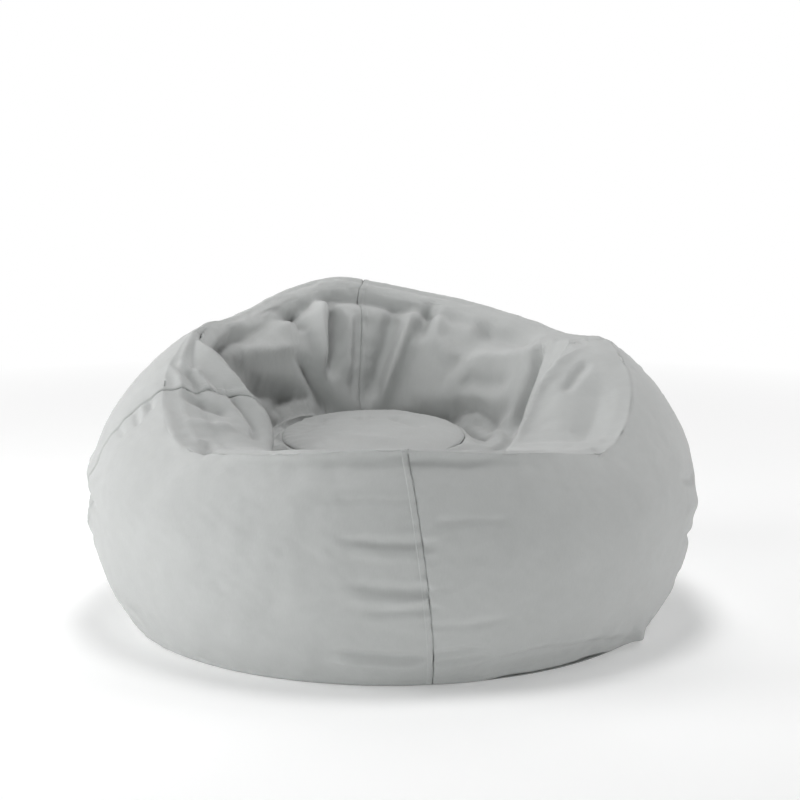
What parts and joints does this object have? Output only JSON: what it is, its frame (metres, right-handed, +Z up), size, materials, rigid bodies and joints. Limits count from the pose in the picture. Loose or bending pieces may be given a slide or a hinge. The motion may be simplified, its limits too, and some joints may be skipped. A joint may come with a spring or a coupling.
{
  "type": "bean bag chair",
  "caption": "Round slouched bean bag chair with upright sewn panels, a crowned seat disc, a low front rim, raised arms and back, a zipped base, and a zipped liner full of loose beads.",
  "frame": {"origin": "on the floor, under the middle of the bag's bounding box", "axes": "+Z up, the low front rim faces -Y, +X to the right as seen by somebody looking at the front"},
  "size_m": [0.9499, 0.9158, 0.496],
  "materials": {
    "cover_cloth": "matte cotton twill, light cool grey",
    "sewing_thread": "twisted polyester thread, grey",
    "zip_tape": "woven polyester tape, grey",
    "zip_coil": "nylon coil, grey",
    "zip_metal": "satin nickel plate",
    "liner_cloth": "thin off-white non-woven cloth",
    "beads": "white expanded polystyrene"
  },
  "bodies": {
    "bag": {"panel_front_right": "cover_cloth", "panel_back_right": "cover_cloth", "panel_back_left": "cover_cloth", "panel_front_left": "cover_cloth", "thread_front": "sewing_thread", "thread_right": "sewing_thread", "thread_back": "sewing_thread", "thread_left": "sewing_thread", "thread_base_ring": "sewing_thread", "thread_zip": "sewing_thread", "base_front": "cover_cloth", "base_rear": "cover_cloth", "zip_tape_front": "zip_tape", "zip_tape_rear": "zip_tape", "zip_teeth_front": "zip_coil", "zip_teeth_rear": "zip_coil", "zip_stops": "zip_metal", "liner_body": "liner_cloth", "liner_top": "liner_cloth", "liner_base_front": "liner_cloth", "liner_base_rear": "liner_cloth", "liner_tape_front": "zip_tape", "liner_tape_rear": "zip_tape", "liner_teeth_front": "zip_coil", "liner_teeth_rear": "zip_coil", "liner_stops": "zip_metal", "bead_fill": "beads"},
    "seat": {"seat_disc": "cover_cloth", "thread_seat_ring": "sewing_thread"},
    "cover_zip_slider": {"zip_slider": "zip_metal"},
    "liner_zip_slider": {"liner_slider": "zip_metal"}
  },
  "joints": [
    {"name": "seat_sink", "type": "slide", "parent": "bag", "child": "seat", "axis": [0, 0, -1], "range_m": [0, 0.07], "deforming": ["panel_front_right", "panel_back_right", "panel_back_left", "panel_front_left", "thread_front", "thread_right", "thread_back", "thread_left", "liner_body", "liner_top", "bead_fill"]},
    {"name": "zip_slide", "type": "slide", "parent": "bag", "child": "cover_zip_slider", "axis": [-1, 0, 0], "range_m": [0, 0.588], "deforming": ["zip_teeth_front", "zip_teeth_rear"]},
    {"name": "liner_zip_slide", "type": "slide", "parent": "bag", "child": "liner_zip_slider", "axis": [-1, 0, 0], "range_m": [0, 0.47], "deforming": ["liner_teeth_front", "liner_teeth_rear"]}
  ]
}
